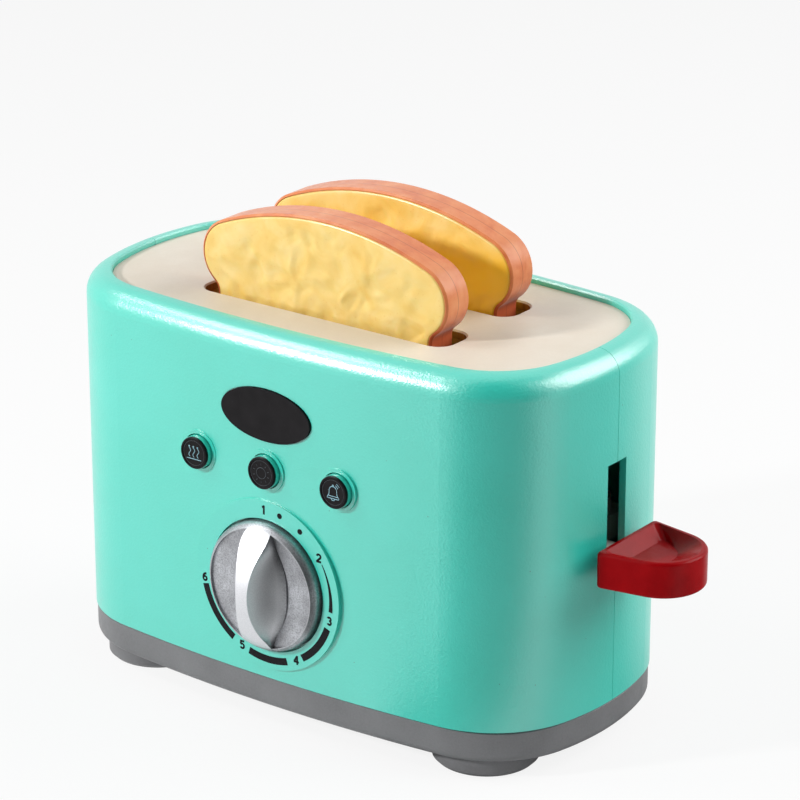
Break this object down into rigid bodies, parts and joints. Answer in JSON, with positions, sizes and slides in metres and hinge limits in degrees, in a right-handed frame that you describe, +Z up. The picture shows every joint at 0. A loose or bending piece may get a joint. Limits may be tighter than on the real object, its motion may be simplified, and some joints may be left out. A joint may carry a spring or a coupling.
{
  "type": "toy toaster",
  "caption": "Toy pop-up toaster with two removable slices of toast, a side lever, a timer dial with a cam-driven latch and push buttons.",
  "frame": {"origin": "on the surface the feet stand on, midway between the feet", "axes": "+Z up, +X along the housing towards the lever, -Y towards the dial and buttons"},
  "size_m": [0.2205, 0.1157, 0.1603],
  "materials": {
    "mint": "fine sandy texture",
    "cream": "matte",
    "grey": "fine matte texture",
    "black": "satin",
    "silver": "satin silver paint",
    "red": "satin",
    "crust": "satin",
    "crumb": "bumpy satin",
    "liner": "matte",
    "inner_plastic": "plain",
    "steel": "plain",
    "spring_steel": "plain"
  },
  "bodies": {
    "housing": {"front_shell": "mint", "rear_shell": "mint", "deck_panel": "cream", "base_tray": "grey", "foot_front_left": "grey", "foot_front_right": "grey", "foot_rear_left": "grey", "foot_rear_right": "grey", "label_plate": "black", "toast_well_front": "liner", "toast_well_rear": "liner", "well_screws": "steel", "base_screws": "steel", "guide_rods": "steel", "timer_case": "inner_plastic", "timer_screws": "steel", "latch_pin": "steel", "button_spring_comb": "spring_steel", "comb_screws": "steel", "return_spring": "spring_steel"},
    "carriage": {"carriage": "inner_plastic", "lever_handle": "red"},
    "dial": {"knob": "silver", "dial_shaft": "steel", "snail_cam": "inner_plastic"},
    "latch": {"latch_lever": "inner_plastic"},
    "button_left": {"button_left_plunger": "mint", "button_left_cap": "black"},
    "button_middle": {"button_middle_plunger": "mint", "button_middle_cap": "black"},
    "button_right": {"button_right_plunger": "mint", "button_right_cap": "black"},
    "slice_front": {"toast_front_crust_fore": "crust", "toast_front_crust_aft": "crust", "toast_front_crumb_fore": "crumb", "toast_front_crumb_aft": "crumb"},
    "slice_rear": {"toast_rear_crust_fore": "crust", "toast_rear_crust_aft": "crust", "toast_rear_crumb_fore": "crumb", "toast_rear_crumb_aft": "crumb"}
  },
  "joints": [
    {"name": "carriage_slide", "type": "slide", "parent": "housing", "child": "carriage", "axis": [0, 0, 1], "range_m": [0, 0.027], "deforming": ["return_spring"]},
    {"name": "dial_turn", "type": "hinge", "parent": "housing", "child": "dial", "pos_m": [0, -0.04, 0.0487], "axis": [0, 1, 0], "range_deg": [0, 262]},
    {"name": "latch_swing", "type": "hinge", "parent": "housing", "child": "latch", "pos_m": [0.046, -0.0288, 0.038], "axis": [0, 1, 0], "range_deg": [0, 8.3]},
    {"name": "button_left_press", "type": "slide", "parent": "housing", "child": "button_left", "axis": [0, 1, 0], "range_m": [0, 0.0018], "stiffness_N_per_m": 300, "springref_m": -0.0008, "deforming": ["button_spring_comb"]},
    {"name": "button_middle_press", "type": "slide", "parent": "housing", "child": "button_middle", "axis": [0, 1, 0], "range_m": [0, 0.0018], "stiffness_N_per_m": 300, "springref_m": -0.0008, "deforming": ["button_spring_comb"]},
    {"name": "button_right_press", "type": "slide", "parent": "housing", "child": "button_right", "axis": [0, 1, 0], "range_m": [0, 0.0018], "stiffness_N_per_m": 300, "springref_m": -0.0008, "deforming": ["button_spring_comb"]},
    {"name": "toast_front_lift", "type": "slide", "parent": "carriage", "child": "slice_front", "axis": [0, 0, 1], "range_m": [0, 0.11]},
    {"name": "toast_rear_lift", "type": "slide", "parent": "carriage", "child": "slice_rear", "axis": [0, 0, 1], "range_m": [0, 0.11]}
  ],
  "couplings": [
    {"joint": "latch_swing", "follows": "dial_turn", "ratio": 0.0314}
  ]
}
